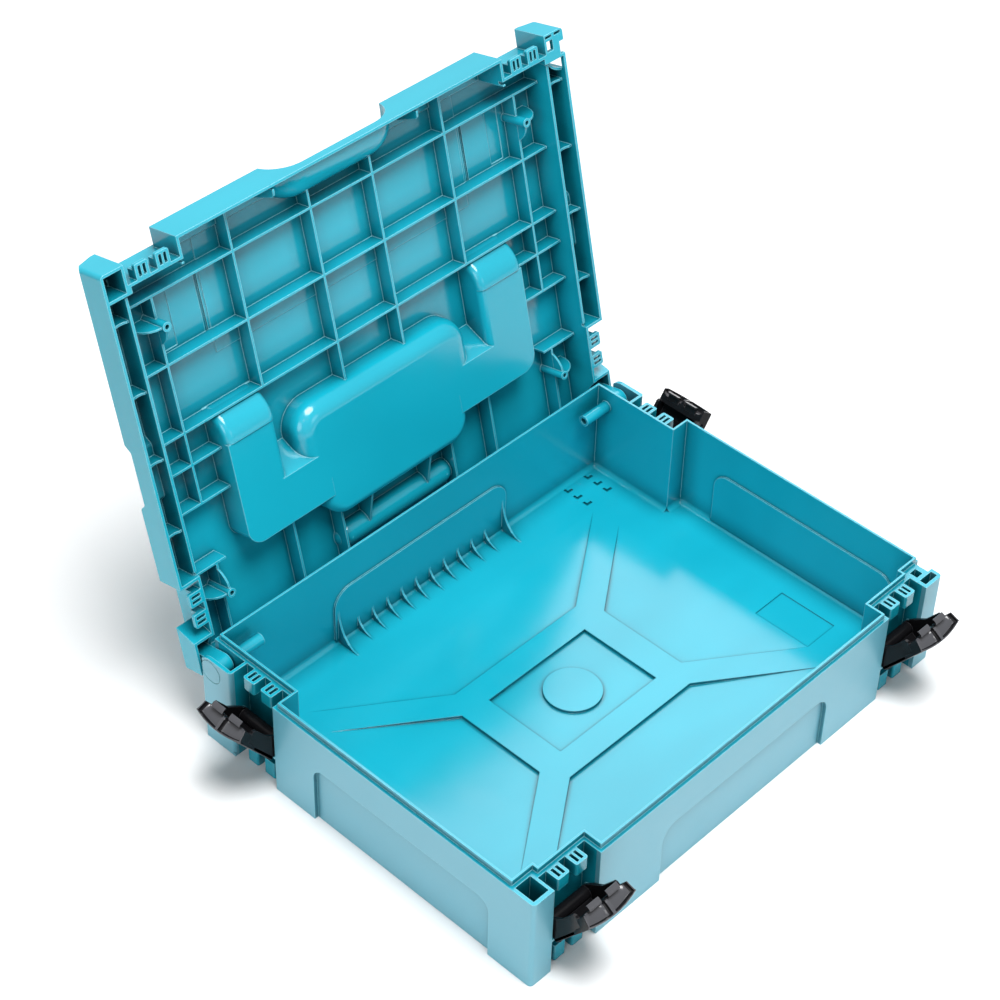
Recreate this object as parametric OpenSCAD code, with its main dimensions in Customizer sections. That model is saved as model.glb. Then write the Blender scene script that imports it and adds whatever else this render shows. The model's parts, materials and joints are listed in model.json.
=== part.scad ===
// Hard tool case: moulded base and lid, four snap latches, folding carry handle.
// Millimetres. Origin at the centre of the underside, X along the hinge, Y towards it, Z up.
// Every piece is drawn closed and then swung to the angles below.

/* [Case] */
// Length of the case along the hinge
case_length = 396; // [384:1:412]
// Width of the case from the front to the hinge side
case_width = 296; // [286:1:308]
// Height of the base, up to the shoulder that the lid closes on
base_height = 76; // [72:0.5:84]
// Height of the lid, from the shoulder to its top
lid_height = 29; // [28.5:0.5:31]

/* [Pose] */
// How far the lid is open
lid_angle = 103; // [0:1:103]
// How far the latches are swung out
latch_angle = 36; // [0:1:38]
// How far the handle is swung up out of the lid
handle_angle = 0; // [0:1:95]

/* [Walls] */
// Wall of the base behind its recessed panels
base_wall = 2.2; // [2:0.1:2.4]
// Wall of the lid
lid_wall = 2; // [1.8:0.1:2]
// Thickness of the stiffening ribs
rib = 1.6; // [1.2:0.1:2]
// Thickness of the floor on its raised bands
floor_thickness = 4; // [3.8:0.1:4.4]
// Step from the raised bands down to the floor fields
floor_step = 2.2; // [1:0.1:2.3]
// Height of the sealing tongue above the shoulder
tongue_height = 4; // [3:0.1:4]
// Thickness of the sealing tongue
tongue = 1.4; // [1.2:0.1:1.5]

/* [Fits] */
// Gap between the shoulder and the closed lid
rim_gap = 0.3; // [0.3:0.05:0.4]
// Radial running clearance of knuckles on their pins
running_fit = 0.05; // [0.03:0.01:0.08]
// Radial clearance of the pins in the walls that hold them
press_fit = 0.01; // [0.01:0.01:0.02]
// Clearance between a latch and the catch block under its hook
hook_gap = 0.5; // [0.5:0.05:0.7]

/* [Hinge] */
// Distance of the hinge axis from the back face
hinge_inset = 12; // [12:0.1:12.4]
// Distance of the hinge axis below the shoulder
hinge_drop = 11; // [10.9:0.1:11.2]
// Diameter of the hinge pins
hinge_pin = 5; // [4.5:0.1:5.4]
// Outside diameter of the tubes that hold the hinge pins
hinge_tube = 8.6; // [8.2:0.1:9.2]

/* [Latches] */
// Width of a latch in its recess, along its pin
latch_width = 37.6; // [36.8:0.1:37.8]
// Width of the head of a latch
latch_head = 44; // [42:0.5:46]
// Length of a latch from its pin to its tip
latch_length = 44.5; // [44.4:0.1:46]
// Diameter of a latch pin
latch_pin = 4; // [3.6:0.1:4.4]
// Height of the latch pins above the underside
latch_pin_height = 37; // [36.9:0.05:37.1]

/* [Handle] */
// Diameter of the handle pins
handle_pin = 4; // [3.6:0.1:4.2]
// Thickness of the handle, top to bottom when folded
handle_thickness = 15; // [13:0.5:16]

/* [Hidden] */
hl = case_length / 2;
hw = case_width / 2;
lid_top = base_height + lid_height;
lid_low = base_height + rim_gap;
ceiling = lid_top - 3;
rib_low = lid_top - 15;
channel_top = lid_top - 8;
scoop_r = 15.6;
hinge_top = lid_top - 12.5;
dip_floor = base_height + 7.4;
dip_half = 52.5;
column_x = hl - 17.6;
column_d = 18;
front_recess_x = hl - 58;
front_recess_d = 13.7;
side_recess_y = hw - 71;
side_recess_d = 14.8;
inner_x = hl - side_recess_d;
web_y = hw - 31.1;
web = 2.2;
front_latch_x = (front_recess_x + column_x) / 2;
side_latch_y = side_recess_y + (web_y - side_recess_y) / 2;
latch_inset = 7;
plate_out = latch_inset + 8.6;
plate_r = 82;
plate_low = -1.6;
shelf_top = 29.5;
block_top = lid_low + 7.7;
ledge_top = lid_low + 2.6;
hook_low = ledge_top + hook_gap - latch_pin_height;
front_half = (column_x - front_recess_x) / 2;
side_half = (web_y - side_recess_y) / 2;
hinge_y = hw - hinge_inset;
hinge_z = base_height - hinge_drop;
hinge_clear = 18.5;
ear_y0 = web_y;
ear_y1 = hinge_y + 8;
ear = 2.8;
knuckle_r = 6.5;
tongue_inset = lid_wall + 0.4;
rim_width = tongue_inset + tongue;
handle_y = 4.5;
handle_z = lid_top - 3.5;
handle_rise = 3.3;
handle_low = handle_z + handle_rise - handle_thickness;
well_wall = 2.2;
well_low = lid_top - 23;
well_floor = well_low + well_wall;
barrel_r = handle_z - well_low + 0.8;
arm_x0 = 94;
arm_x1 = 134;
arm_gap = 5;
well_front = 13.6;
well_half = 78;
well_back = 84;
notch_half = 66;
notch_back = 104;
grip_depth = 18;
grip_back = well_back - 4;
e = 0.01;

// Outlines and small helpers

// Right half of the wall line in plan, moved inwards by inset
function half_outline(inset) = [
    [front_recess_x - inset, -hw + inset],
    [front_recess_x - inset, -hw + front_recess_d + inset],
    [column_x - inset, -hw + front_recess_d + inset],
    [column_x - inset, -hw + column_d + inset],
    [hl - inset, -hw + column_d + inset],
    [hl - inset, side_recess_y - inset],
    [inner_x - inset, side_recess_y - inset],
    [inner_x - inset, hw - inset]];
function mirrored(p) = [for (i = [len(p) - 1 : -1 : 0]) [-p[i][0], p[i][1]]];
function outline(inset) = concat(half_outline(inset), mirrored(half_outline(inset)));

// Points of a concave quarter curve from [a, 0] to [0, b]
function scoop(a, b, n = 6) = [for (i = [0 : n]) [a * (1 - sin(90 * i / n)), b * (1 - cos(90 * i / n))]];

// A shape drawn in X and Z, drawn out along Y
module along_y(y0, y1) {
    translate([0, y1, 0]) rotate([90, 0, 0]) linear_extrude(y1 - y0) children();
}

// A shape drawn in Y and Z, drawn out along X
module along_x(x0, x1) {
    translate([x0, 0, 0]) rotate([90, 0, 90]) linear_extrude(x1 - x0) children();
}

// A box between two corners
module box(a, b) {
    translate(a) cube(b - a);
}

module rod_x(d, x0, x1, fn = 40) {
    translate([x0, 0, 0]) rotate([0, 90, 0]) cylinder(d = d, h = x1 - x0, $fn = fn);
}

module both() {
    children();
    mirror([1, 0, 0]) children();
}

// The wall line as a ring of the given thickness
module ring(z0, z1, inset, thick) {
    translate([0, 0, z0]) linear_extrude(z1 - z0) difference() {
        polygon(outline(inset));
        polygon(outline(inset + thick));
    }
}

// The corner between two faces that a rounding takes away
module corner_cut(r) {
    difference() {
        translate([-e, -e]) square(r + e);
        translate([r, r]) circle(r, $fn = 32);
    }
}

// Takes a rounding off the lower edge from p to q, the body on its left
module edge_round(p, q, r, z) {
    v = q - p;
    translate([p[0], p[1], z]) rotate([0, 0, atan2(v[1], v[0])]) rotate([90, 0, 90])
        linear_extrude(norm(v)) corner_cut(r);
}

// Carries the rounding on round a quarter of a corner with its centre at c
module corner_round(c, start, corner_r, r, z) {
    translate([c[0], c[1], z]) rotate([0, 0, start]) rotate_extrude(angle = 90, $fn = 64)
        translate([corner_r, 0]) mirror([1, 0]) corner_cut(r);
}

// A flat-bottomed arch, width to either side of the middle
module arch(half, high, r) {
    translate([-half, 0]) square([2 * half, high - r]);
    translate([-half + r, 0]) square([2 * half - 2 * r, high]);
    for (s = [-1, 1]) translate([s * (half - r), high - r]) circle(r, $fn = 48);
}

// Recess frames: the middle of a recess on its back wall, -Y pointing out of the case
module at_front_recess(s) {
    translate([s * front_latch_x, -hw + front_recess_d, 0]) children();
}

module at_side_recess(s) {
    translate([s * inner_x, side_latch_y, 0]) rotate([0, 0, s * 90]) children();
}

module at_recesses() {
    for (s = [-1, 1]) {
        at_front_recess(s) children();
        at_side_recess(s) children();
    }
}

// Latch frames: on the latch pin, -Y pointing out of the case
module at_front_latch(s) {
    translate([s * front_latch_x, -hw + latch_inset, latch_pin_height]) children();
}

module at_side_latch(s) {
    translate([s * (hl - latch_inset), side_latch_y, latch_pin_height]) rotate([0, 0, s * 90]) children();
}

module swing_lid() {
    translate([0, hinge_y, hinge_z]) rotate([-lid_angle, 0, 0])
        translate([0, -hinge_y, -hinge_z]) children();
}

// Two slotted blocks that lock the latches or another case
module catch_blocks(z0, z1, slotted = true) {
    for (s = [-1, 1]) translate([s * 8, 0, 0]) difference() {
        translate([0, 0, z0]) linear_extrude(z1 - z0) difference() {
            translate([-5.1, -10]) square([10.2, 10.5]);
            translate([-5.1, -10]) corner_cut(1.5);
            translate([5.1, -10]) mirror([1, 0]) corner_cut(1.5);
            if (slotted) for (x = [-2.9, 0.8]) translate([x, -8.2]) square([2.1, 7]);
        }
    }
}

// Base

// Hollow rounded fillet along the foot of the cavity wall
module foot_fillet(r) {
    o = outline(rim_width - e);
    n = len(o);
    for (i = [0 : n - 1]) edge_round(o[i], o[(i + 1) % n], r, floor_thickness - e);
}

// Stiffening gusset between the floor and the back wall, in Y and Z
module wall_gusset(x, reach, high) {
    y = hw - 3 - base_wall + e;
    translate([0, 0, floor_thickness - e]) along_x(x - 0.7, x + 0.7)
        polygon(concat([[y, 0]], [for (p = scoop(reach, high)) [y - p[0], p[1]]]));
}

// The floor field between two arms of the X, sinking towards the middle
module field_cut(inner, half, outer, outer_half) {
    slope = atan(floor_step / (outer - inner));
    intersection() {
        translate([0, 0, floor_thickness - floor_step - 1]) linear_extrude(floor_step + 2)
            polygon([[inner, -half], [outer, -outer_half], [outer, outer_half], [inner, half]]);
        translate([inner - 1, -hw, floor_thickness - floor_step - (floor_step / (outer - inner))])
            rotate([0, -slope, 0]) cube([outer, 2 * hw, 20]);
    }
}

module floor_relief() {
    for (s = [-1, 1]) {
        scale([s, 1, 1]) field_cut(70.3, 35.3, 143, 86.8);
        rotate([0, 0, s * 90]) field_cut(52.4, 59.6, 110, 141);
        translate([0, 0, floor_thickness - 0.4]) {
            box([143, -86.8, 0], [172, -40.5, 2]);
        }
    }
    translate([0, 0, floor_thickness - floor_step]) linear_extrude(10) difference() {
        square([94.6, 65.2], center = true);
        circle(20.5, $fn = 64);
    }
    translate([0, 0, floor_thickness - 0.3]) cylinder(r = 20.5, h = 5, $fn = 64);
    for (y = [136, 126.5, 117]) for (x = [163.8, 142.3]) translate([x, y, floor_thickness - 1.4]) {
        cube([5.5, 1.8, 2]);
        cube([1.8, 4.5, 2]);
    }
}

// Shallow channels under the raised bands
module under_relief() {
    difference() {
        for (a = [35.3, -35.3]) rotate([0, 0, a]) translate([-150, -8, -1]) cube([300, 16, 3]);
        translate([-47.3, -32.6, -2]) cube([94.6, 65.2, 4]);
    }
}

module panel_cuts() {
    for (s = [-1, 1]) scale([1, s, 1]) along_y(hw - 3, hw + 1) translate([0, -e]) arch(81, 47.5, 13);
    for (s = [-1, 1]) scale([s, 1, 1]) along_x(hl - 3, hl + 1) translate([-35.5, -e]) arch(76.5, 49, 10);
}

module panel_backs() {
    w = base_wall;
    for (s = [-1, 1]) scale([1, s, 1]) along_y(hw - 3 - w, hw - 1) arch(81 + w, 47.5 + w, 13 + w);
    for (s = [-1, 1]) scale([s, 1, 1]) along_x(hl - 3 - w, hl - 1) translate([-35.5, 0])
        arch(76.5 + w, 49 + w, 10 + w);
}

module column() {
    linear_extrude(base_height) difference() {
        translate([column_x, -hw]) square([hl - column_x, column_d + e]);
        translate([hl, -hw]) mirror([1, 0]) corner_cut(3);
    }
}

// The pocket of the left column and the padlock eye of the right one
module column_cuts() {
    box([-hl + 2.7, -hw + 2.9, 4], [-column_x - 2.1, -hw + 17.8, base_height + 1]);
    box([column_x + 2.6, -hw + 2.5, base_height - 20], [hl - 2.5, -hw + 7.5, base_height + 1]);
    box([column_x + 3.6, -hw + 10.5, base_height - 20], [column_x + 9.6, -hw + 16.5, base_height + 1]);
    box([column_x + 2.2, -hw + 2.5, -1], [hl - 2.5, -hw + 17.7, base_height - 16]);
    box([hl - 4, -hw + 9, base_height - 14], [hl + 1, -hw + 20.2, base_height + 1]);
}

// Ear, web and rear wall that make the pocket for a hinge arm
module hinge_pocket() {
    difference() {
        union() {
            difference() {
                union() {
                    along_x(hl - ear, hl) {
                        square_to([ear_y0, 0], [ear_y1, base_height - 8]);
                        square_to([ear_y0, 0], [hinge_y, base_height - 0.3]);
                        translate([hinge_y, hinge_z]) intersection() {
                            circle(hinge_drop - 0.3, $fn = 48);
                            translate([-20, -20]) square([28, 40]);
                        }
                    }
                    box([inner_x - 1, web_y, 0], [hl, web_y + web, base_height]);
                }
                translate([hl, web_y, -1]) mirror([1, 0, 0]) linear_extrude(200) corner_cut(2.5);
            }
            box([inner_x - 1, ear_y1 - web, 0], [hl, ear_y1, 45]);
            box([inner_x - 1, web_y, 0], [hl - e, ear_y1, 2.4]);
        }
        translate([hl - 0.4, hinge_y, hinge_z]) rotate([0, 90, 0]) difference() {
            cylinder(r = 9.2, h = 2, $fn = 48);
            translate([0, 0, -1]) cylinder(r = 8.5, h = 4, $fn = 48);
        }
    }
}

module square_to(a, b) {
    translate(a) square(b - a);
}

module base_shell() {
    difference() {
        union() {
            linear_extrude(base_height) polygon(outline(0));
            both() column();
            both() hinge_pocket();
        }
        translate([0, 0, floor_thickness]) linear_extrude(base_height) polygon(outline(rim_width));
    }
    ring(base_height - 2, base_height + tongue_height, tongue_inset, tongue);
}

module recess_parts() {
    for (s = [-1, 1]) {
        at_front_recess(s) {
            box([-20.4, -front_recess_d, shelf_top - 1.6], [20.4, 0.5, shelf_top]);
            catch_blocks(base_height - 10, base_height);
            catch_blocks(0, 14, false);
        }
        at_side_recess(s) {
            box([-20.2, -side_recess_d, shelf_top - 1.6], [20.2, 0.5, shelf_top]);
            catch_blocks(base_height - 10, base_height);
            catch_blocks(0, 14, false);
        }
    }
}

// Round pads on the recess walls that the latch pins sit in
module pin_pads(half) {
    for (s = [0, 180]) rotate([0, 0, s]) rod_x(9, half - 0.8, half + 0.5);
}

module pin_bores(half) {
    rod_x(latch_pin + 2 * press_fit, -half - 1.7, half + 1.7);
}

module base_tray() {
    color("#0d8fa3") difference() {
        union() {
            base_shell();
            panel_backs();
            recess_parts();
            foot_fillet(4);
            for (x = [6.9, 20.7, 34.5, 48.3, 62]) both() wall_gusset(x, 15.5, 12);
            both() wall_gusset(80, 19, 29);
            both() translate([0, hinge_y, hinge_z]) rod_x(hinge_tube, inner_x - 28, inner_x - 1);
            for (s = [-1, 1]) {
                at_front_latch(s) pin_pads(front_half);
                at_side_latch(s) pin_pads(side_half);
            }
        }
        panel_cuts();
        floor_relief();
        under_relief();
        column_cuts();
        both() translate([0, hinge_y, hinge_z]) rod_x(hinge_pin + 2 * press_fit, inner_x - 30, hl - 1);
        for (s = [-1, 1]) {
            at_front_latch(s) pin_bores(front_half);
            at_side_latch(s) pin_bores(side_half);
        }
    }
}

module hinge_pin_piece(s) {
    color("#b9bcc0") scale([s, 1, 1]) translate([0, hinge_y, hinge_z])
        rod_x(hinge_pin, inner_x - 23, hl - 1.05);
}

module latch_pin_piece(half) {
    color("#b9bcc0") rod_x(latch_pin, -half - 1.65, half + 1.65);
}

// Lid, drawn closed

// Finger dip in the front edge of the lid, bowl-shaped, grown by g
module front_dip(g) {
    half = dip_half + g;
    back = -hw + lid_top - dip_floor + 5 + g;
    r = lid_top - dip_floor + g;
    corner_r = r + 0.4;
    low = dip_floor - g;
    y0 = g > 0 ? -hw : -hw - 1;
    difference() {
        translate([0, 0, low]) linear_extrude(lid_top - low + (g > 0 ? 0 : 1)) difference() {
            square_to([-half, y0], [half, back]);
            for (s = [-1, 1]) scale([s, 1]) translate([-half, back]) mirror([0, 1]) corner_cut(corner_r);
        }
        edge_round([half - corner_r, back], [-half + corner_r, back], r, low);
        for (s = [-1, 1]) scale([s, 1, 1]) {
            edge_round([half, y0 - 1], [half, back - corner_r], r, low);
            corner_round([half - corner_r, back - corner_r], 0, corner_r, r, low);
        }
    }
}

// Ledge along the front, open towards the inside, with the shell of the dip
module front_ledge() {
    back = -hw + 17;
    top = lid_top - 3;
    difference() {
        box([-front_recess_x, -hw, lid_low], [front_recess_x, back + lid_wall, top]);
        box([-front_recess_x + lid_wall, -hw + lid_wall, lid_low - 1],
            [front_recess_x - lid_wall, back + 30, top - lid_wall]);
    }
    // step from the ledge up to the top
    box([-front_recess_x, back, top - lid_wall], [front_recess_x, back + lid_wall, lid_top - e]);
    intersection() {
        front_dip(lid_wall);
        union() {
            box([-hl, -hw, 0], [hl, 0, top]);
            box([-hl, back, 0], [hl, 0, lid_top - e]);
        }
    }
}

// Outline of a corner block in X and Z, drawn in by inset, its top falling off outwards
function block_outline(inset) = [
    [column_x + inset, lid_low - (inset > 0 ? 1 : 0)],
    [hl - inset, lid_low - (inset > 0 ? 1 : 0)],
    [hl - inset, channel_top - inset],
    [hl - 3 - inset / 2, channel_top + 3.4 - inset],
    [hl - 14, lid_top - 1.2 - inset],
    [column_x + inset, lid_top - 1.2 - inset]];

// Corner block of the lid over a base column
module corner_block(s) {
    scale([s, 1, 1]) difference() {
        along_y(-hw, -hw + column_d + lid_wall) polygon(block_outline(0));
        translate([hl, -hw, lid_low - 1]) mirror([1, 0, 0]) linear_extrude(60) corner_cut(3);
        difference() {
            along_y(-hw + lid_wall, -hw + column_d) polygon(block_outline(lid_wall));
            if (s > 0) box([column_x, -hw, lid_low], [hl, -hw + column_d, lid_low + 4]);
        }
    }
}

// Way through the right block for a padlock: eye, two slots and the scoop to the side
module padlock_cuts() {
    box([column_x + 1.6, -hw + 5, lid_low - 1], [column_x + 7.4, -hw + 12.5, lid_low + 5]);
    for (x = [column_x + 0.9, column_x + 9.4])
        box([x, -hw + 1.2, lid_low - 1], [x + 6, -hw + 3, lid_low + 5]);
    intersection() {
        translate([hl + 1, -hw + 14, lid_low + 3])
            cylinder(r = scoop_r, h = channel_top - lid_low - 1, $fn = 64);
        box([column_x, -hw + 4, lid_low], [hl + 1, -hw + 40, lid_top - 5]);
    }
    box([hl - 4, -hw + 9, lid_low - 1], [hl + 1, -hw + column_d + 0.2, lid_low + 8]);
}

// Curved wall behind the scoop
module scoop_wall() {
    intersection() {
        translate([hl + 1, -hw + 14, lid_low + 4])
            cylinder(r = scoop_r + 1.8, h = lid_top - 5.2 - lid_low, $fn = 64);
        box([column_x, -hw + 14, lid_low], [hl - 0.6, -hw + 40, channel_top - 1]);
    }
}

// One side: outer wall, channel with cross ribs, finger scoop
module lid_side() {
    y0 = -hw + column_d;
    y1 = side_recess_y;
    // roof line of the channel with the finger scoop in it, in Y and Z
    roof = concat([[y0, channel_top], [-26, channel_top]],
        [for (i = [1 : 6]) [-26 + 6 * i / 6, channel_top - 5 * (1 - cos(180 * i / 6)) / 2]],
        [for (i = [0 : 6]) [17 + 6 * i / 6, channel_top - 5 * (1 + cos(180 * i / 6)) / 2]],
        [[y1, channel_top]]);
    n = len(roof);
    difference() {
        along_x(inner_x - lid_wall, hl) polygon(concat(roof, [[y1, lid_low], [y0, lid_low]]));
        along_x(inner_x - 5, hl - lid_wall) polygon(concat(
            [for (p = roof) [min(max(p[0], y0 + lid_wall), y1 - lid_wall), p[1] - lid_wall]],
            [[y1 - lid_wall, lid_low - 1], [y0 + lid_wall, lid_low - 1]]));
        along_x(inner_x - 5, hl - lid_wall) square_to([y0 - 1, 0],
            [y0 + lid_wall + e, base_height + tongue_height + 0.6]);
    }
    for (y = [-110, -60.5, -12, 41]) along_y(y - rib / 2, y + rib / 2) difference() {
        square_to([inner_x - e, lid_low + 4.6], [hl - lid_wall + e, channel_top - (y == -12 ? 5 : 1)]);
        translate([inner_x + 6, lid_low + 4.2]) scale([1, 0.35]) circle(4.4, $fn = 32);
    }
    // inner wall of the channel
    box([inner_x - lid_wall, y0 + 2, lid_low + 2.6], [inner_x, y1 + e, lid_top - e]);
}

// Hinge block over the back corner, with the arm that hangs down to the knuckle
module lid_hinge(s) {
    scale([s, 1, 1]) difference() {
        union() {
            difference() {
                along_x(inner_x - 1, hl) polygon([[ear_y1, lid_low], [ear_y1, hinge_top],
                    [hw - 36, hinge_top], [hw - 29, lid_low]]);
                along_x(inner_x + 0.8, hl - lid_wall) polygon([[ear_y1 - lid_wall, lid_low - 1],
                    [ear_y1 - lid_wall, hinge_top - lid_wall], [hw - 33, hinge_top - lid_wall],
                    [hw - 26.6, lid_low - 1]]);
                translate([inner_x - 2, hinge_y, hinge_z]) rotate([0, 90, 0])
                    cylinder(r = hinge_clear, h = 2.8, $fn = 64);
            }
            along_x(inner_x + 0.8, hl - ear - 0.6) {
                translate([hinge_y, hinge_z]) circle(knuckle_r, $fn = 48);
                square_to([hinge_y - knuckle_r, hinge_z], [hinge_y + knuckle_r, hinge_top - 1]);
            }
        }
        translate([0, hinge_y, hinge_z]) rod_x(hinge_pin + 2 * running_fit, inner_x - 5, hl + 5);
    }
}

// Solid that the handle recess takes up, grown by g on every side and down to low
module well_body(g, low) {
    top = lid_top + (g > 0 ? 0 : 1);
    x0 = arm_x0 + well_wall - g;
    x1 = arm_x1 - well_wall + g;
    back = well_back - well_wall + g;
    for (s = [-1, 1]) scale([s, 1, 1]) {
        well_arm(g, low, top, x0, x1, back);
        // sloping neck between the arm and the middle
        along_x(notch_half, x0 + 4) polygon([[52 - g, low], [60, low], [60, top], [36 - g, top]]);
    }
    well_middle(g, low, top);
}

// Arm of the recess with the quarter barrel round the handle pin
module well_arm(g, low, top, x0, x1, back) {
    r = barrel_r - well_wall + g;
    inner_round = 2.8 + g;
    difference() {
        along_x(x0, x1) {
            square_to([handle_y + 1, low], [back - 9.8, top]);
            intersection() {
                translate([handle_y, handle_z]) circle(r, $fn = 64);
                square_to([handle_y - r - 1, 0], [handle_y + 1, top]);
            }
            square_to([handle_y - r, handle_z], [handle_y + 1, top]);
        }
        edge_round([x0, 52 - g], [x0, handle_y + 1], inner_round, low);
        // rounded ends of the barrel
        for (end = [[x0, 1], [x1, -1]]) translate([end[0], handle_y, handle_z]) rotate([0, 90, 0])
            intersection() {
                rotate_extrude($fn = 64) translate([r, 0]) scale([-1, end[1]]) corner_cut(inner_round);
                rotate([0, -90, 0]) box([-60, -60, -60], [60, 1, 0]);
            }
    }
    translate([0, 0, low]) linear_extrude(top - low) difference() {
        square_to([60, 52 - g], [x1, back]);
        translate([x1, back]) rotate(180) corner_cut(9.8 + g);
    }
}

// Middle of the recess, rounded all round its lower edge
module well_middle(g, low, top) {
    half = well_half - well_wall + g;
    front = well_front + well_wall - g;
    small = notch_half - well_wall + g;
    back = notch_back - well_wall + g;
    wide_r = 17.8 + g;
    small_r = 15.8 + g;
    edge_r = 9.8 + g;
    back_r = 4.8 + g;
    difference() {
        translate([0, 0, low]) linear_extrude(top - low) difference() {
            union() {
                square_to([-half, front], [half, 70]);
                square_to([-small, 60], [small, back]);
            }
            for (s = [-1, 1]) scale([s, 1]) {
                translate([-half, front]) corner_cut(wide_r);
                translate([-small, back]) mirror([0, 1]) corner_cut(small_r);
            }
        }
        edge_round([-half + wide_r, front], [half - wide_r, front], edge_r, low);
        edge_round([small - small_r, back], [-small + small_r, back], back_r, low);
        for (s = [-1, 1]) scale([s, 1, 1]) {
            edge_round([half, front + wide_r], [half, 70], edge_r, low);
            corner_round([half - wide_r, front + wide_r], -90, wide_r, edge_r, low);
            edge_round([small, 70], [small, back - small_r], back_r, low);
            corner_round([small - small_r, back - small_r], 0, small_r, back_r, low);
        }
    }
}

module well_details() {
    for (s = [-1, 1]) scale([s, 1, 1]) {
        // stop that the heel of the handle meets when it stands up, and the rest under its arm
        box([arm_x0 + 8, handle_y + 4.15, well_floor - e], [arm_x1 - 8, handle_y + 7, well_floor + 3]);
        box([arm_x0 + 8, 68, well_floor - e], [arm_x1 - 12, 72, handle_low - 0.3]);
    }
}

// Straight rib hanging from the ceiling
module rib_x(y, x0, x1, low = rib_low) {
    box([x0, y - rib / 2, low], [x1, y + rib / 2, ceiling + 1]);
}

module rib_y(x, y0, y1, low = rib_low) {
    box([x - rib / 2, y0, low], [x + rib / 2, y1, ceiling + 1]);
}

module lid_ribs() {
    wx = inner_x - 1;
    for (y = [-112, -63.5, -14.5]) rib_x(y, -wx, wx);
    both() {
        rib_y(27, -hw + 18, 20);
        rib_y(92.4, -hw + 1, -14.5);
        rib_y(158, -112, 38);
        rib_y(158, 84, hw - 4);
        rib_x(9, arm_x1 - 1, wx);
        rib_x(38, arm_x1 - 1, wx);
        rib_x(84, 150, wx);
        rib_y(92.4, well_back - 1, hw - 4);
        rib_y(52, 100, hw - 4);
    }
}

// Hollow screw boss with its two curved gussets
module lid_boss(x, y) {
    low = lid_top - 24.5;
    translate([x, y, low]) cylinder(d = 6.4, h = ceiling - low + 1, $fn = 32);
    for (a = [0, 90]) translate([x, y, 0]) rotate([0, 0, a]) along_y(-0.7, 0.7)
        polygon(concat([[0, ceiling + 1], [0, low + 1.5]],
            [for (i = [0 : 6]) [3 + 15 * sin(90 * i / 6), low + 1.5 + 19.5 * (1 - cos(90 * i / 6))]],
            [[18, ceiling + 1]]));
}

module lid_bosses() {
    both() {
        lid_boss(158, -93.6);
        scale([1, -1, 1]) lid_boss(158, -104);
    }
}

// Rounded bead along the back of the lid with its two gussets
module back_bead() {
    y = hw - 18;
    difference() {
        union() {
            translate([0, y, ceiling]) rod_x(19, -45, 45, 48);
            for (s = [-1, 1]) translate([s * 45, y, ceiling]) intersection() {
                sphere(d = 19, $fn = 40);
                translate([-20, -20, -20]) cube(40);
            }
        }
        box([-60, y - 20, ceiling + 1], [60, y + 20, lid_top + 20]);
    }
    for (x = [-27.7, 27.7]) along_x(x - 0.7, x + 0.7)
        polygon([[100, well_low + 2], [y, ceiling - 8], [y, ceiling + 1], [100, ceiling + 1]]);
}

// Raised field inside the top, with the sinks beside it
module raised_field() {
    box([-113, -hw + 20, ceiling - 0.5], [113, -47, ceiling + e]);
}

module lid_fields() {
    both() {
        box([115, -108, ceiling - e], [117.4, -55, ceiling + 1.2]);
        box([139.8, -107, ceiling - e], [151, -66, ceiling + 0.4]);
    }
}

// Leaf gusset in the trough of the front ledge, in Y and Z
module ledge_gusset(x) {
    y0 = -hw + lid_wall - e;
    z0 = lid_low + 0.8;
    along_x(x - 0.7, x + 0.7) polygon([[y0, lid_top - 4], [y0, z0 + 0.4], [y0 + 4, z0],
        [y0 + 6.6, z0 + 0.5], [y0 + 8.2, z0 + 2.2], [y0 + 13.6, lid_top - 4]]);
}

module lid_top_plate() {
    x0 = front_recess_x - 1;
    translate([0, 0, ceiling]) linear_extrude(lid_top - ceiling) difference() {
        polygon(concat(
            [[x0, -hw + 17], [x0, -hw + front_recess_d], [inner_x, -hw + front_recess_d], [inner_x, hw]],
            [[-inner_x, hw], [-inner_x, -hw + front_recess_d], [-x0, -hw + front_recess_d], [-x0, -hw + 17]]));
        for (s = [-1, 1]) translate([s * inner_x, hw]) scale([-s, -1]) corner_cut(4);
    }
}

module lid_walls() {
    // back wall, its lower edge clear of the turning circle and its face the stop of the open lid
    box([-inner_x, hw - 1.5, base_height + 4.4], [inner_x, hw, lid_top - 4]);
    box([-inner_x + 4, hw - 1.5, lid_top - 5], [inner_x - 4, hw, lid_top - e]);
    difference() {
        union() {
            both() {
                // wall of the side recess, on to the back
                box([inner_x - lid_wall, side_recess_y - lid_wall, lid_low],
                    [inner_x, hw - 1, lid_top - 4]);
                box([inner_x - lid_wall, side_recess_y - lid_wall, lid_top - 5],
                    [inner_x, hw - 4, lid_top - e]);
                // walls of the front recess
                box([front_recess_x - lid_wall, -hw, lid_low],
                    [front_recess_x, -hw + front_recess_d + lid_wall, lid_top - 3]);
                box([front_recess_x - lid_wall, -hw + front_recess_d, lid_low],
                    [column_x, -hw + front_recess_d + lid_wall, lid_top - e]);
                box([column_x - lid_wall, -hw + front_recess_d, lid_low],
                    [column_x, -hw + column_d + lid_wall, lid_top - e]);
                box([column_x - lid_wall, -hw + front_recess_d, ceiling - 8],
                    [inner_x, -hw + column_d + 4, lid_top - e]);
            }
        }
        both() translate([inner_x - 4, hinge_y, hinge_z]) rotate([0, 90, 0])
            cylinder(r = hinge_clear, h = 6, $fn = 64);
    }
}

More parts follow.
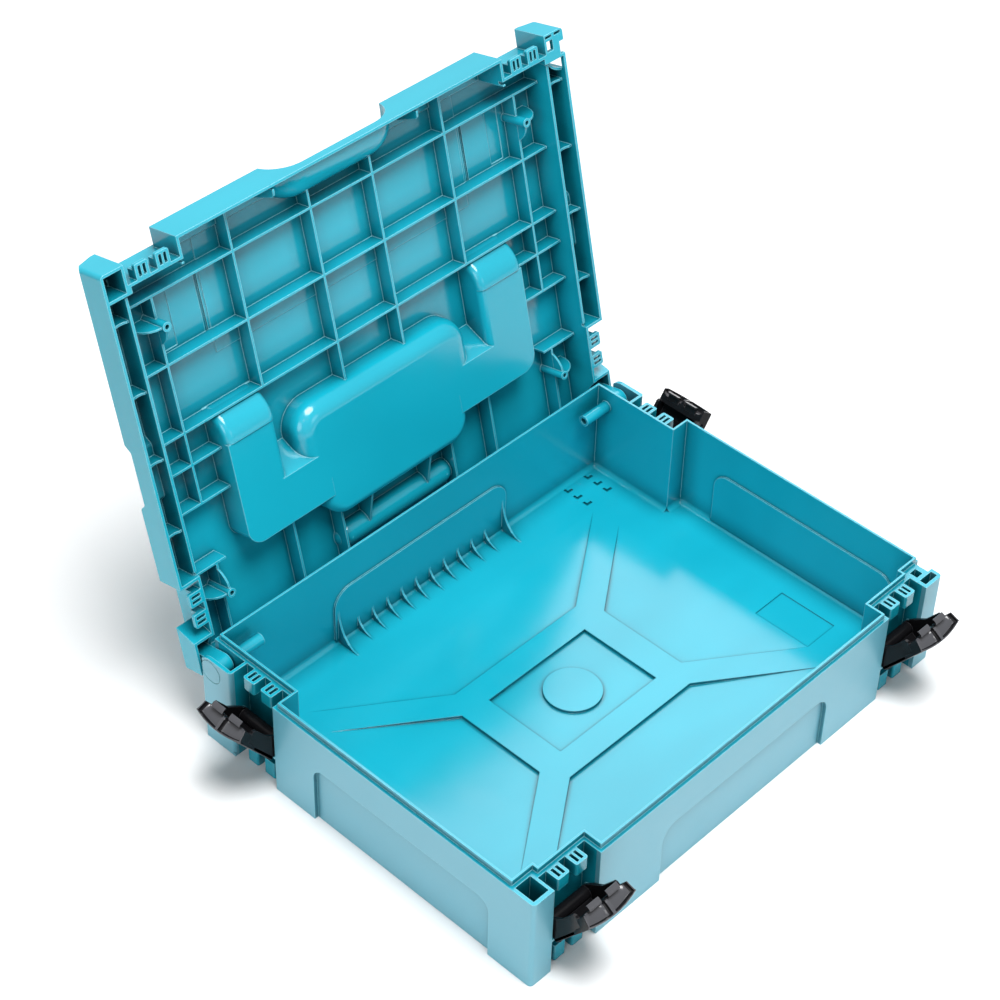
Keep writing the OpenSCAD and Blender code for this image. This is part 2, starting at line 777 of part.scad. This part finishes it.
module lid_closed() {
    difference() {
        union() {
            lid_top_plate();
            raised_field();
            both() ledge_gusset(62);
            lid_walls();
            front_ledge();
            both() lid_side();
            for (s = [-1, 1]) {
                corner_block(s);
                lid_hinge(s);
            }
            scoop_wall();
            at_recesses() difference() {
                catch_blocks(lid_low, block_top);
                box([-20, -11, ledge_top], [20, -6.2, block_top + 1]);
            }
            lid_ribs();
            lid_bosses();
            well_body(well_wall, well_low);
            back_bead();
        }
        difference() {
            well_body(0, well_floor);
            well_details();
        }
        translate([0, handle_y, handle_z]) {
            both() rod_x(handle_pin + 2 * press_fit, arm_x0 + 0.4, arm_x1 - 0.4);
        }
        front_dip(0);
        padlock_cuts();
        lid_fields();
        // clear of the sealing tongue of the base
        ring(lid_low - 1, base_height + tongue_height + rim_gap, tongue_inset - rim_gap,
            tongue + 2 * rim_gap);
        both() for (y = [-93.6, 104]) translate([158, y, lid_top - 30]) cylinder(d = 3.2, h = 25, $fn = 24);
        translate([0, hw - 18, ceiling]) rod_x(14.6, -44, 44, 48);
    }
}

module lid() {
    color("#0d8fa3") swing_lid() lid_closed();
}

// Handle

// Side view of one arm in Y and Z round its pin: hub, stop heel and arm
module arm_profile() {
    low = handle_low - handle_z;
    intersection() {
        union() {
            circle(13.3, $fn = 64);
            intersection() {
                circle(16.9, $fn = 64);
                polygon([[0, 0], [-40, -6.2], [-40, 10]]);
            }
            square_to([0, low], [grip_back - 2.5 - handle_y, handle_rise]);
        }
        square_to([-hw, low], [hw, handle_rise]);
    }
}

module carry_handle_folded() {
    difference() {
        union() {
            both() along_x(arm_x0 + arm_gap, arm_x1 - arm_gap) arm_profile();
            // grip with rounded edges
            along_x(-arm_x1 + arm_gap, arm_x1 - arm_gap)
                translate([grip_back - grip_depth - handle_y, handle_low - handle_z]) difference() {
                    square([grip_depth, handle_thickness]);
                    corner_cut(5);
                    translate([grip_depth, 0]) mirror([1, 0]) corner_cut(5);
                    translate([0, handle_thickness]) mirror([0, 1]) corner_cut(3);
                    translate([grip_depth, handle_thickness]) mirror([1, 1]) corner_cut(3);
                }
        }
        both() rod_x(handle_pin + 2 * running_fit, arm_x0, arm_x1);
        // rounded outer corners
        both() translate([arm_x1 - arm_gap, grip_back - handle_y, -lid_height]) rotate(180)
            linear_extrude(2 * lid_height) corner_cut(8);
        // lightening pockets in the arms, open downwards
        both() box([arm_x0 + arm_gap + 4, 17, -lid_height],
            [arm_x1 - arm_gap - 4, grip_back - grip_depth - handle_y - 7.5, -2]);
    }
}

module carry_handle() {
    color("#1d1c22") swing_lid() translate([0, handle_y, handle_z]) rotate([handle_angle, 0, 0])
        carry_handle_folded();
}

module handle_pin_piece(s) {
    color("#b9bcc0") swing_lid() translate([0, handle_y, handle_z]) scale([s, 1, 1])
        rod_x(handle_pin, arm_x0 + 0.45, arm_x1 - 0.45);
}

// Latches, drawn closed round the pin

// Side view of a latch wall in Y and Z: from the knuckle up to the head
module latch_profile() {
    circle(4.5, $fn = 48);
    polygon([[4.5, 0], [3, 9], [-0.6, 20], [-0.6, latch_length - 1.5], [-2, latch_length - 0.5],
        [-20, latch_length - 0.5], [-20, plate_low], [-4.5, plate_low], [-4.4, -1]]);
}

// Plan of the inside of the outer plate, thick in from its outer face
module latch_plan(thick, half) {
    intersection() {
        translate([0, plate_r - plate_out]) circle(plate_r - thick, $fn = 180);
        square_to([-half, -20], [half, 10]);
    }
}

module latch_plate(z0, z1, half) {
    translate([0, 0, z0]) linear_extrude(z1 - z0) difference() {
        latch_plan(0, half);
        latch_plan(2.2, half + 5);
    }
}

module latch() {
    h = latch_width / 2;
    hh = latch_head / 2;
    color("#1d1c22") difference() {
        union() {
            latch_plate(plate_low, latch_length - 9, h);
            latch_plate(latch_length - 18, latch_length, hh);
            rod_x(9, -h, h, 48);
            box([-h, -14, -1.2], [h, 0, 1.2]);
            intersection() {
                translate([0, 0, plate_low]) linear_extrude(latch_length - plate_low) latch_plan(1, hh);
                union() {
                    along_x(-h, -h + 2) latch_profile();
                    along_x(h - 2, h) latch_profile();
                    // head, with its end walls outside the recess
                    box([-h + 1, -20, latch_length - 8], [h - 1, -latch_inset + 2.6, latch_length - 0.5]);
                    for (x = [-hh, hh - 2])
                        box([x, -20, latch_length - 18], [x + 2, -latch_inset - 0.6, latch_length - 0.5]);
                    box([-hh, -20, latch_length - 8], [hh, -latch_inset - 0.6, latch_length - 0.5]);
                    box([-hh, -20, latch_length - 18], [-h + 1, -latch_inset - 0.6, latch_length - 16.4]);
                    box([h - 1, -20, latch_length - 18], [hh, -latch_inset - 0.6, latch_length - 16.4]);
                }
            }
            // hooks that reach over the ledges of the catch blocks
            for (s = [-1, 1]) translate([s * 8, 0, 0])
                box([-5, -latch_inset, hook_low], [5, -0.2, latch_length - 0.6]);
        }
        rod_x(latch_pin + 2 * running_fit, -30, 30);
        // finger hollows of the head, either side of its ridge
        for (s = [-1, 1]) translate([s * 11, -plate_out + 2.4, latch_length + 10]) rotate([-90, 0, 0])
            cylinder(r = 14, h = plate_out, $fn = 64);
        // hollow in the middle of the tip
        translate([0, -30, latch_length + 66]) rotate([-90, 0, 0]) cylinder(r = 68, h = 60, $fn = 120);
    }
}

module swung_latch() {
    rotate([latch_angle, 0, 0]) latch();
}

module latch_front_left() at_front_latch(-1) swung_latch();
module latch_front_right() at_front_latch(1) swung_latch();
module latch_side_left() at_side_latch(-1) swung_latch();
module latch_side_right() at_side_latch(1) swung_latch();
module latch_pin_front_left() at_front_latch(-1) latch_pin_piece(front_half);
module latch_pin_front_right() at_front_latch(1) latch_pin_piece(front_half);
module latch_pin_side_left() at_side_latch(-1) latch_pin_piece(side_half);
module latch_pin_side_right() at_side_latch(1) latch_pin_piece(side_half);

base_tray();
lid();
hinge_pin_piece(-1);  // hinge_pin_left
hinge_pin_piece(1);  // hinge_pin_right
latch_front_left();
latch_front_right();
latch_side_left();
latch_side_right();
latch_pin_front_left();
latch_pin_front_right();
latch_pin_side_left();
latch_pin_side_right();
carry_handle();
handle_pin_piece(-1);  // handle_pin_left
handle_pin_piece(1);  // handle_pin_right
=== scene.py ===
# Hard tool case with its lid open: moulded teal base and lid, black snap latches
# and carry handle, steel pins. Metres, X along the hinge, Y towards the hinge, Z up.
import json
import math
import bpy
import bmesh
from mathutils import Matrix, Vector


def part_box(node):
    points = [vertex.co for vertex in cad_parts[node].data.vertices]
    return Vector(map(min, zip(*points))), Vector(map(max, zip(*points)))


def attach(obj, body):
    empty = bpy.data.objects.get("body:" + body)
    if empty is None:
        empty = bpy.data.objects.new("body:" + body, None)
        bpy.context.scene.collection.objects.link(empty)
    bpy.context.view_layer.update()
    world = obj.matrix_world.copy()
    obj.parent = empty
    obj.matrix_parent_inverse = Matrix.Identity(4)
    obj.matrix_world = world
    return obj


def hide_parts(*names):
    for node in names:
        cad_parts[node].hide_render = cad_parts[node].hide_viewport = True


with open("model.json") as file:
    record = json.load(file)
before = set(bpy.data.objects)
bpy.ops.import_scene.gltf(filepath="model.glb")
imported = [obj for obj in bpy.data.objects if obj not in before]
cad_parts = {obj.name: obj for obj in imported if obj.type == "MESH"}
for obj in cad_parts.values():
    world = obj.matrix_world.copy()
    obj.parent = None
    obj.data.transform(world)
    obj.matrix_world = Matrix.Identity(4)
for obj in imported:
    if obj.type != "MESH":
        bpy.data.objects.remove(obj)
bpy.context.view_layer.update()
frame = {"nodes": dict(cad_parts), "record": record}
print("frame loaded:", len(frame["nodes"]), "nodes")


# Shader maths: a wire is one output socket, and sums on it add Math nodes

class Wire:
    def __init__(self, paint, socket):
        self.paint = paint
        self.socket = socket

    def out(self, name):
        return Wire(self.paint, self.socket.node.outputs[name])

    def calc(self, operation, first, second):
        return self.paint.node("Math", {"operation": operation}, {0: first, 1: second})

    def __add__(self, other):
        return self.calc("ADD", self, other)

    def __radd__(self, other):
        return self.calc("ADD", other, self)

    def __sub__(self, other):
        return self.calc("SUBTRACT", self, other)

    def __rsub__(self, other):
        return self.calc("SUBTRACT", other, self)

    def __mul__(self, other):
        return self.calc("MULTIPLY", self, other)

    def __rmul__(self, other):
        return self.calc("MULTIPLY", other, self)

    def above(self, limit):
        return self.calc("GREATER_THAN", self, limit)

    def size(self):
        return self.calc("ABSOLUTE", self, 0.0)

    def most(self, other):
        return self.calc("MAXIMUM", self, other)


# A paint is one material and its nodes
class Paint:
    def __init__(self, owner):
        owner.use_nodes = True
        self.material = owner
        self.tree = owner.node_tree
        self.tree.nodes.clear()

    def node(self, kind, settings=None, inputs=None, output=0):
        made = self.tree.nodes.new("ShaderNode" + kind)
        for key, value in (settings or {}).items():
            if key == "stops":
                ramp = made.color_ramp.elements
                while len(ramp) < len(value):
                    ramp.new(0.5)
                for stop, (place, colour) in zip(ramp, value):
                    stop.position = place
                    stop.color = colour
            else:
                setattr(made, key, value)
        for key, value in (inputs or {}).items():
            if isinstance(value, Wire):
                self.tree.links.new(value.socket, made.inputs[key])
            else:
                made.inputs[key].default_value = value
        return Wire(self, made.outputs[output]) if made.outputs else None

    # colour between two colours by a mask; sockets 6 and 7 are the colour pair of Mix
    def blendColours(self, mask, first, second):
        return self.node("Mix", {"data_type": "RGBA"}, {0: mask, 6: first, 7: second}, output=2)

    # object coordinates stay with a piece when its body moves
    def place(self):
        return self.node("TexCoord", output=3)

    def noise(self, scale, detail, stretch=None):
        spot = self.place()
        if stretch:
            spot = self.node("Mapping", None, {"Vector": spot, "Scale": stretch})
        return self.node("TexNoise", None, {"Vector": spot, "Scale": scale, "Detail": detail})

    # painted shade mask from ambient occlusion: 0 in the open, towards 1 in a corner or hollow within reach
    def shadeOfHollows(self, reach, gain):
        free = self.node("AmbientOcclusion", {"samples": 4, "only_local": True},
                         {"Distance": reach}, output=1)
        return self.node("Math", {"operation": "MINIMUM"}, {0: (1 - free) * gain, 1: 1.0})

    # 0 on flats, towards 1 where an edge lies within the radius
    def edges(self, radius):
        rounded = self.node("Bevel", {"samples": 4}, {"Radius": radius})
        flat = self.node("NewGeometry").out("Normal")
        facing = self.node("VectorMath", {"operation": "DOT_PRODUCT"}, {0: rounded, 1: flat}, output=1)
        return self.node("Math", {"operation": "SMOOTH_MIN"}, {0: (1 - facing) * 7.0, 1: 1.0, 2: 0.1})

    def finish(self, inputs):
        shader = self.node("BsdfPrincipled", None, inputs)
        self.node("OutputMaterial", None, {"Surface": shader})
        return self.material


def rgb(r, g, b):
    return (r, g, b, 1.0)


# Glossy teal moulding of the base and the lid

tealShell = {
    "colour": rgb(0.008, 0.370, 0.490),
    "deep": rgb(0.005, 0.310, 0.415),        # flow marks
    "edge": rgb(0.260, 0.680, 0.780),        # rubbed edges, partly a painted highlight along them
    "paintedSheen": rgb(0.120, 0.380, 0.480),       # painted pale sheen of the outside walls, which are also rougher
    "paintedShade": rgb(0.000, 0.080, 0.110),       # painted shade in corners, steps and hollows
    "ior": 1.53,
    "roughness": 0.15,
    "frostRoughness": 0.20,                  # added on the outside walls
    "frostBand": 0.0034,                     # depth from the outline in which a wall is an outside wall
    "floorTop": 0.0075,                      # height under which edges are steps of the floor
    "roundEdge": 0.0005,
    "wearAndHighlightWidth": 0.0009,
    "wearAndHighlightStrength": 0.75,
    "cornerReach": 0.0030,
    "cornerGain": 2.6,
    "hollowReach": 0.018,
    "hollowGain": 1.3,
    "shadeStrength": 0.92,
    "flowScale": 6.0,
    "grainScale": 1500.0,
    "grainDepth": 0.00002,
    "waveScale": 22.0,
    "waveDepth": 0.00035,
    "scuffScale": 70.0,
}


def makeTeal(name, spec, frostSheenAndStepShade):
    paint = Paint(bpy.data.materials.new(name))
    flow = paint.noise(spec["flowScale"], 2.0, (1.0, 2.4, 1.0))
    cloud = paint.node("ValToRGB", {"stops": [(0.30, rgb(0, 0, 0)), (0.72, rgb(1, 1, 1))]}, {"Fac": flow})
    body = paint.blendColours(cloud, spec["deep"], spec["colour"])
    rough = spec["roughness"]
    edge = spec["edge"]
    if frostSheenAndStepShade:
        # the outside walls carry a fine spark-eroded grain, which makes them rougher, and a painted pale
        # sheen in their colour
        lowest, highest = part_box("base_tray")
        outerX = highest.x - spec["frostBand"]
        outerY = -lowest.y - spec["frostBand"]
        spot = paint.node("SeparateXYZ", None, {0: paint.place()})
        turned = paint.node("SeparateXYZ", None, {0: paint.node("NewGeometry").out("Normal")})
        outer = spot.size().above(outerX).most(spot.out("Y").size().above(outerY))
        outer = outer * (1 - turned.out("Z").size().above(0.5))
        body = paint.blendColours(outer, body, spec["paintedSheen"])
        rough = rough + outer * spec["frostRoughness"]
        # painted shade: the edges of the floor's steps take the shade colour, so they show as dark lines
        low = 1 - spot.out("Z").above(spec["floorTop"])
        edge = paint.blendColours(low * (1 - outer), spec["edge"], spec["paintedShade"])
    # painted shade: corners, steps and hollows are darkened towards the shade colour
    cornerShade = paint.shadeOfHollows(spec["cornerReach"], spec["cornerGain"])
    hollowShade = paint.shadeOfHollows(spec["hollowReach"], spec["hollowGain"])
    body = paint.blendColours(cornerShade.most(hollowShade) * spec["shadeStrength"], body, spec["paintedShade"])
    # edges lighten towards the edge colour: rubbing, and partly a painted highlight
    wearAndHighlight = paint.edges(spec["wearAndHighlightWidth"])
    colour = paint.blendColours(wearAndHighlight * spec["wearAndHighlightStrength"], body, edge)
    grain = paint.noise(spec["grainScale"], 2.0)
    wave = paint.noise(spec["waveScale"], 1.0)
    rounded = paint.node("Bevel", {"samples": 4}, {"Radius": spec["roundEdge"]})
    soft = paint.node("Bump", None, {"Strength": 0.35, "Distance": spec["waveDepth"],
                                     "Height": wave, "Normal": rounded})
    fine = paint.node("Bump", None, {"Strength": 0.5, "Distance": spec["grainDepth"],
                                     "Height": grain, "Normal": soft})
    scuff = paint.noise(spec["scuffScale"], 5.0, (1.0, 0.35, 1.0))
    rough = rough + (scuff - 0.5) * 0.10 + (grain - 0.5) * 0.05 + wearAndHighlight * 0.06
    return paint.finish({"Base Color": colour, "Roughness": rough, "Normal": fine, "IOR": spec["ior"]})


# Glossy black plastic of the latches and the handle

blackMoulding = {
    "colour": rgb(0.005, 0.005, 0.006),
    "edge": rgb(0.060, 0.060, 0.068),
    "haze": rgb(0.012, 0.012, 0.013),
    "ior": 1.24,
    "roughness": 0.20,
    "roundEdge": 0.0004,
    "wearAndHighlightWidth": 0.00064,
    "wearAndHighlightStrength": 0.5,
    "hazeScale": 40.0,
    "hazeStrength": 0.4,
    "grainScale": 1300.0,
    "grainDepth": 0.00002,
}

# the up-facing floors of the latches' finger hollows get a greyer, glossier copy of the black: a painted
# reflection
litFacetMoulding = dict(blackMoulding)
litFacetMoulding.update({
    "colour": rgb(0.050, 0.052, 0.060),
    "edge": rgb(0.160, 0.165, 0.180),
    "haze": rgb(0.090, 0.092, 0.100),
    "ior": 1.5,
    "roughness": 0.12,
    "roundEdge": 0.0003,
    "wearAndHighlightWidth": 0.00048,
})


def makeBlack(name, spec):
    paint = Paint(bpy.data.materials.new(name))
    haze = paint.noise(spec["hazeScale"], 4.0)
    # edges lighten towards the edge colour: rubbing, and partly painted glints
    wearAndHighlight = paint.edges(spec["wearAndHighlightWidth"])
    colour = paint.blendColours(wearAndHighlight * spec["wearAndHighlightStrength"], spec["colour"], spec["edge"])
    colour = paint.blendColours(haze * spec["hazeStrength"], colour, spec["haze"])
    grain = paint.noise(spec["grainScale"], 2.0)
    rounded = paint.node("Bevel", {"samples": 6}, {"Radius": spec["roundEdge"]})
    bumpy = paint.node("Bump", None, {"Strength": 0.4, "Distance": spec["grainDepth"],
                                      "Height": grain, "Normal": rounded})
    rough = spec["roughness"] + (haze - 0.5) * 0.16 + wearAndHighlight * 0.08
    return paint.finish({"Base Color": colour, "Roughness": rough, "Normal": bumpy, "IOR": spec["ior"]})


# Drawn steel wire of the pins, its lines along X

drawnSteel = {
    "colour": rgb(0.56, 0.57, 0.59),
    "stain": rgb(0.33, 0.31, 0.29),
    "roughness": 0.28,
    "lineScale": 900.0,
    "lineDepth": 0.00002,
    "stainScale": 220.0,
}


def makeSteel(name, spec):
    paint = Paint(bpy.data.materials.new(name))
    lines = paint.noise(spec["lineScale"], 3.0, (0.04, 1.0, 1.0))
    stain = paint.noise(spec["stainScale"], 4.0)
    spots = paint.node("ValToRGB", {"stops": [(0.55, rgb(0, 0, 0)), (0.80, rgb(1, 1, 1))]}, {"Fac": stain})
    colour = paint.blendColours(spots, spec["colour"], spec["stain"])
    bumpy = paint.node("Bump", None, {"Strength": 0.5, "Distance": spec["lineDepth"], "Height": lines})
    rough = spec["roughness"] + (lines - 0.5) * 0.25
    return paint.finish({"Base Color": colour, "Metallic": 1.0, "Roughness": rough, "Normal": bumpy})


tealBase = makeTeal("tealBase", tealShell, True)
tealLid = makeTeal("tealLid", tealShell, False)
black = makeBlack("blackMoulding", blackMoulding)
litFacets = makeBlack("litFacetMoulding", litFacetMoulding)
steel = makeSteel("drawnSteel", drawnSteel)
print("materials made")


def dress(names, material):
    for name in names:
        node = frame["nodes"][name]
        node.data.materials.clear()
        node.data.materials.append(material)


pins = [name for name in sorted(frame["nodes"]) if "pin_" in name]
latches = [name for name in sorted(frame["nodes"]) if name.startswith("latch_") and name not in pins]
dress(["base_tray"], tealBase)
dress(["lid"], tealLid)
dress(pins, steel)
dress(["carry_handle"] + latches, black)
print("nodes dressed")


# Latches: X along the pin, outwards is -Y, Z from the pin to the tip

latchShape = {
    "pinHalf": 0.0188,        # half width between the recess walls
    "headHalf": 0.0208,       # half width of the head outside the recess
    "length": 0.0438,
    "low": -0.0016,
    "out": 0.0150,            # from the pin to the middle of the outer face
    "planRadius": 0.070,
    "wall": 0.0022,
    "plateTop": 0.0090,       # the plate ends this far below the tip
    "headDeep": 0.0115,
    "innerFace": -0.0040,     # the head stays clear of the catch blocks
    "headHigh": 0.0180,
    "rimHigh": 0.0095,
    "taperDepth": 0.0045,     # depth over which the head narrows to the recess
    "ridge": 0.0011,          # half width of the ridge between the finger hollows
    "end": 0.0008,            # rim outside each finger hollow
    "hollowDepth": 0.0040,
    "hollowPower": 3.0,       # 2 is an arc, more is a flat bottom with steep ends
    "knuckle": 0.0045,
    "webHalf": 0.0012,
    "cheekWall": 0.0020,
    "hookMiddle": 0.0080,
    "hookHalf": 0.0050,
    "hookTip": -0.0002,
    "hookThick": 0.0014,
    "swing": 36.0,            # swung out from the closed latch, as the frame rests
}


# skin over a row of rings with as many points each, closed at both ends
def loft(shape, rings):
    rows = [[shape.verts.new(point) for point in ring] for ring in rings]
    faces = [shape.faces.new(rows[0][::-1]), shape.faces.new(rows[-1])]
    for row, after in zip(rows, rows[1:]):
        for i in range(len(row)):
            faces.append(shape.faces.new((row[i - 1], row[i], after[i], after[i - 1])))
    for face in faces:
        face.smooth = True


def outerFace(spec, x):
    return spec["planRadius"] - spec["out"] - math.sqrt(spec["planRadius"] ** 2 - x ** 2)


# middle and half width of a finger hollow
def hollowSpan(spec):
    middle = (spec["ridge"] + spec["headHalf"] - spec["end"]) / 2
    return middle, middle - spec["ridge"]


# ring of the head at x: outer wall, rim, finger hollow and the rounded inner edge
def headRing(spec, x):
    tip, deep, wall = spec["length"], spec["headDeep"], spec["wall"]
    middle, reach = hollowSpan(spec)
    far = min(abs(abs(x) - middle) / reach, 1.0)
    floor = tip - spec["hollowDepth"] * (1 - far ** spec["hollowPower"]) ** (1 / spec["hollowPower"])
    section = [(0, tip - spec["headHigh"]), (0, tip - 0.0007), (0.0003, tip - 0.0001), (0.0008, tip),
               (0.0011, tip * 0.3 + floor * 0.7), (0.0018, floor), (deep - 0.0034, floor),
               (deep - 0.0014, floor - 0.0005), (deep - 0.0004, floor - 0.0016), (deep, floor - 0.0034),
               (deep, tip - spec["rimHigh"]), (wall, tip - spec["rimHigh"]), (wall, tip - spec["headHigh"])]
    taper = 1 - spec["pinHalf"] / spec["headHalf"]
    ring = []
    for inward, z in section:
        narrowed = x * (1 - taper * min(inward / spec["taperDepth"], 1.0))
        ring.append((narrowed, min(outerFace(spec, x) + inward, spec["innerFace"]), z))
    return ring


# stations across the head, closing up at both ends of each hollow
def headStations(spec, steps=24):
    middle, reach = hollowSpan(spec)
    right = [middle - reach * math.cos(math.pi * i / steps) for i in range(steps + 1)]
    right.append(spec["headHalf"])
    return [-x for x in right[::-1]] + right


# outline in Y and Z, drawn out along the pin
def alongPin(shape, outline, stations):
    loft(shape, [[(x, y, z) for y, z in outline] for x in stations])


def latchMesh(spec, name):
    shape = bmesh.new()
    tip, half, low, wall, knuckle = (spec[key] for key in ("length", "pinHalf", "low", "wall", "knuckle"))
    loft(shape, [headRing(spec, x) for x in headStations(spec)])
    # outer plate below the head
    high = tip - spec["plateTop"]
    plate = ((0, low), (0, high), (wall, high), (wall, low))
    stations = [half * (i / 12 - 1) for i in range(25)]
    loft(shape, [[(x, outerFace(spec, x) + inward, z) for inward, z in plate] for x in stations])
    # knuckle round the pin, and the web from it to the plate
    turns = [math.tau * i / 40 for i in range(40)]
    alongPin(shape, [(knuckle * math.cos(a), knuckle * math.sin(a)) for a in turns], (-half, half))
    web, webEdge = spec["webHalf"], -0.0135
    alongPin(shape, ((webEdge, -web), (0.0, -web), (0.0, web), (webEdge, web)), (-half + 0.001, half - 0.001))
    # side cheeks, round the knuckle and up to the head
    edge = outerFace(spec, half) + 0.0004
    cheek = ((edge, low), (-0.0044, low), (0.0, -knuckle), (0.0032, -0.0032), (knuckle, 0.0),
             (0.0040, 0.0045), (0.0030, 0.0090), (-0.0006, 0.0200), (-0.0006, tip - 0.0100),
             (-0.0020, tip - 0.0085), (edge, tip - 0.0085))
    # hooks that reach over the ledges of the catch blocks
    reach, under = spec["hookTip"], tip - spec["hookThick"]
    hook = ((-0.0046, tip - 0.0060), (-0.0036, tip - 0.0060), (-0.0036, under), (reach, under),
            (reach, tip - 0.0004), (-0.0030, tip), (-0.0046, tip - 0.0008))
    for side in (-1, 1):
        alongPin(shape, cheek, sorted((side * half, side * (half - spec["cheekWall"]))))
        middle = side * spec["hookMiddle"]
        alongPin(shape, hook, (middle - spec["hookHalf"], middle + spec["hookHalf"]))
    bmesh.ops.recalc_face_normals(shape, faces=shape.faces)
    # the up-facing floors of the finger hollows take the greyer copy, a painted reflection
    for face in shape.faces:
        face.material_index = int(face.normal.z > 0.8 and face.calc_center_median().z > tip - 0.0045)
    mesh = bpy.data.meshes.new(name)
    shape.to_mesh(mesh)
    shape.free()
    mesh.set_sharp_from_angle(angle=math.radians(40))
    return mesh


# each latch hangs on its joint: the axis is X, and the swing opens it outwards
def makeLatches(spec):
    for joint in frame["record"]["behaviour"]["joints"]:
        if not joint["name"].endswith("latch_hinge"):
            continue
        side = joint["child"].removesuffix("_latch")
        along = Vector(joint["axis"])
        up = Vector((0, 0, 1))
        turn = Matrix((along, up.cross(along), up)).transposed().to_4x4()
        mesh = latchMesh(spec, "latch_" + side + "_shape")
        mesh.transform(Matrix.Translation(joint["pos_m"]) @ turn
                       @ Matrix.Rotation(math.radians(spec["swing"]), 4, "X"))
        mesh.materials.append(black)
        mesh.materials.append(litFacets)
        latch = bpy.data.objects.new("latch_" + side + "_moulding", mesh)
        bpy.context.scene.collection.objects.link(latch)
        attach(latch, joint["child"])
        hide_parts("latch_" + side)


makeLatches(latchShape)
print("latches made")


# Studio: pale floor, soft light and the camera

studio = {
    "floorSize": 6.0,
    "floorColour": rgb(0.90, 0.90, 0.90),
    "skyStrength": 0.20,
    "lamps": {
        # name: (place, target, size, watts)
        "topSoft": ((-0.1, -0.38, 2.0), (0.0, 0.0, 0.1), 1.2, 58.0),
        "leftSoft": ((-2.0, -0.5, 0.9), (-0.1, 0.0, 0.1), 1.2, 12.0),
        "frontSoft": ((0.5, -2.1, 0.9), (0.0, 0.0, 0.2), 0.9, 4.0),
        "backSoft": ((1.15, 1.05, 1.5), (0.0, 0.0, 0.05), 1.3, 12.0),
        "dotLeft": ((-1.35, -1.0, 1.7), (0.0, 0.05, 0.1), 0.09, 1.6),
        "dotRight": ((-0.75, -1.45, 1.75), (0.0, 0.05, 0.1), 0.09, 1.6),
    },
}


def makeStudio(spec):
    half = spec["floorSize"] / 2
    mesh = bpy.data.meshes.new("studioFloor")
    shape = bmesh.new()
    for x, y in ((-half, -half), (half, -half), (half, half), (-half, half)):
        shape.verts.new((x, y, -0.0002))
    shape.faces.new(shape.verts)
    shape.to_mesh(mesh)
    shape.free()
    floor = bpy.data.objects.new("studioFloor", mesh)
    bpy.context.scene.collection.objects.link(floor)
    paint = Paint(bpy.data.materials.new("studioFloor"))
    mesh.materials.append(paint.finish({"Base Color": spec["floorColour"], "Roughness": 0.9}))

    # the sky is white to the eye and in reflections, and dimmer as a lamp
    world = bpy.data.worlds.new("studioSky")
    bpy.context.scene.world = world
    sky = Paint(world)
    path = sky.node("LightPath")
    seen = path.most(path.out("Is Glossy Ray"))
    strength = spec["skyStrength"] + seen * (1.0 - spec["skyStrength"])
    glow = sky.node("Background", None, {"Strength": strength})
    sky.node("OutputWorld", None, {"Surface": glow})

    for name, (place, target, size, watts) in spec["lamps"].items():
        light = bpy.data.lights.new(name, "AREA")
        light.shape = "DISK"
        light.size = size
        light.energy = watts
        lamp = bpy.data.objects.new(name, light)
        aim = Vector(place) - Vector(target)
        lamp.matrix_world = Matrix.Translation(place) @ aim.to_track_quat("Z", "Y").to_matrix().to_4x4()
        bpy.context.scene.collection.objects.link(lamp)


camera = {
    "azimuth": -47.17,
    "elevation": 41.91,
    "roll": 1.59,
    "target": (0.04325, 0.11158, 0.07567),
    "distance": 1.7407,
    "lens": 91.66,
}


def makeCamera(spec):
    az = math.radians(spec["azimuth"])
    el = math.radians(spec["elevation"])
    roll = math.radians(spec["roll"])
    back = Vector((math.sin(az) * math.cos(el), -math.cos(az) * math.cos(el), math.sin(el)))
    right = Vector((math.cos(az), math.sin(az), 0.0))
    up = back.cross(right)
    across = right * math.cos(roll) + up * math.sin(roll)
    upright = up * math.cos(roll) - right * math.sin(roll)
    turn = Matrix((across, upright, back)).transposed().to_4x4()
    lens = bpy.data.cameras.new("photoCamera")
    lens.sensor_width = 36.0
    lens.lens = spec["lens"]
    lens.clip_start = 0.05
    eye = bpy.data.objects.new("photoCamera", lens)
    eye.matrix_world = Matrix.Translation(Vector(spec["target"]) + back * spec["distance"]) @ turn
    bpy.context.scene.collection.objects.link(eye)
    bpy.context.scene.camera = eye


makeStudio(studio)
makeCamera(camera)
bpy.context.scene.view_settings.view_transform = "Standard"
print("studio and camera set")
